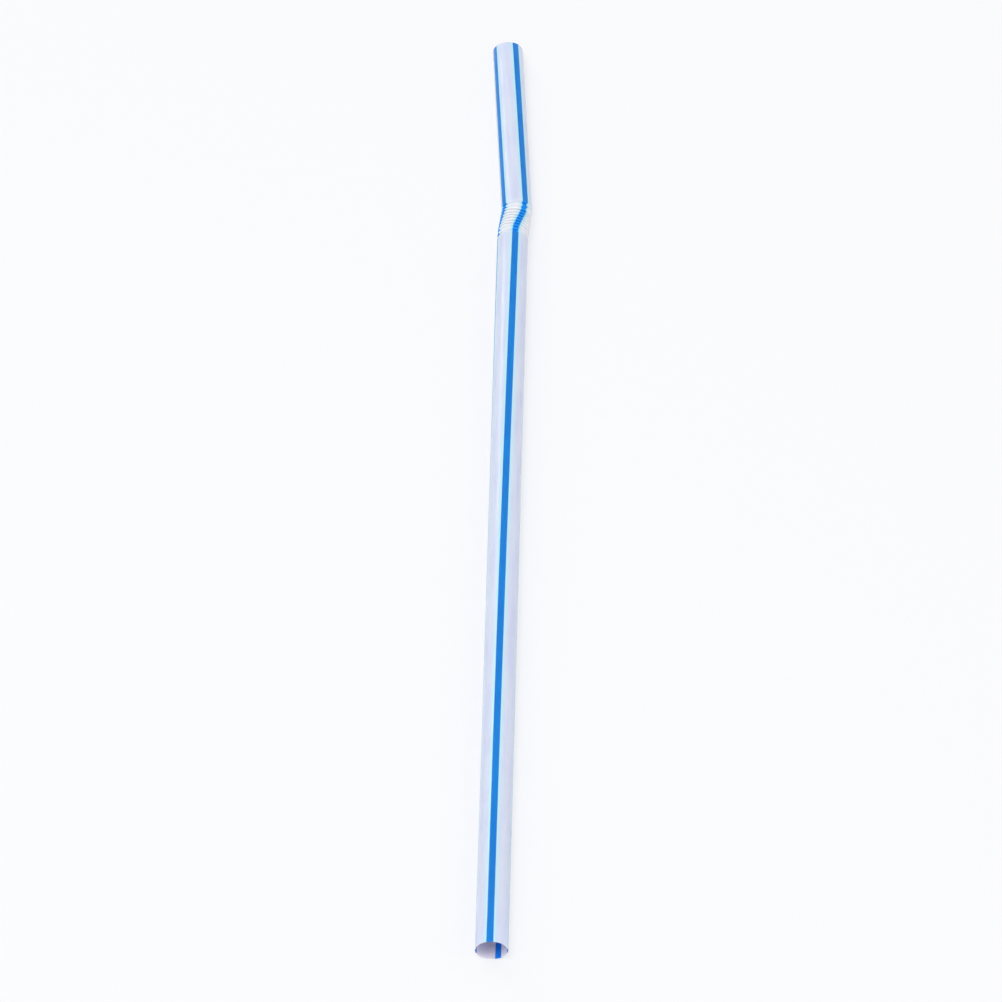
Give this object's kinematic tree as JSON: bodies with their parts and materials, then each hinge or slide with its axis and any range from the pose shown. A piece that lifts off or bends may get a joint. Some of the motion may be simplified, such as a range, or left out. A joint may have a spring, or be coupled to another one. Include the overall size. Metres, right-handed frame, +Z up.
{
  "type": "plastic drinking straw",
  "caption": "Thin striped plastic tube with a stack of closed-up bending folds between a long and a short leg, for drinking through.",
  "frame": {"origin": "on the surface that the straw lies on, under the middle of its outline", "axes": "+Y along the straw from the long leg's open end towards the short leg, +X to the side, +Z up"},
  "size_m": [0.0086, 0.21, 0.006],
  "materials": {
    "straw": "satin"
  },
  "bodies": {
    "root": {"straw": "straw"}
  },
  "joints": []
}
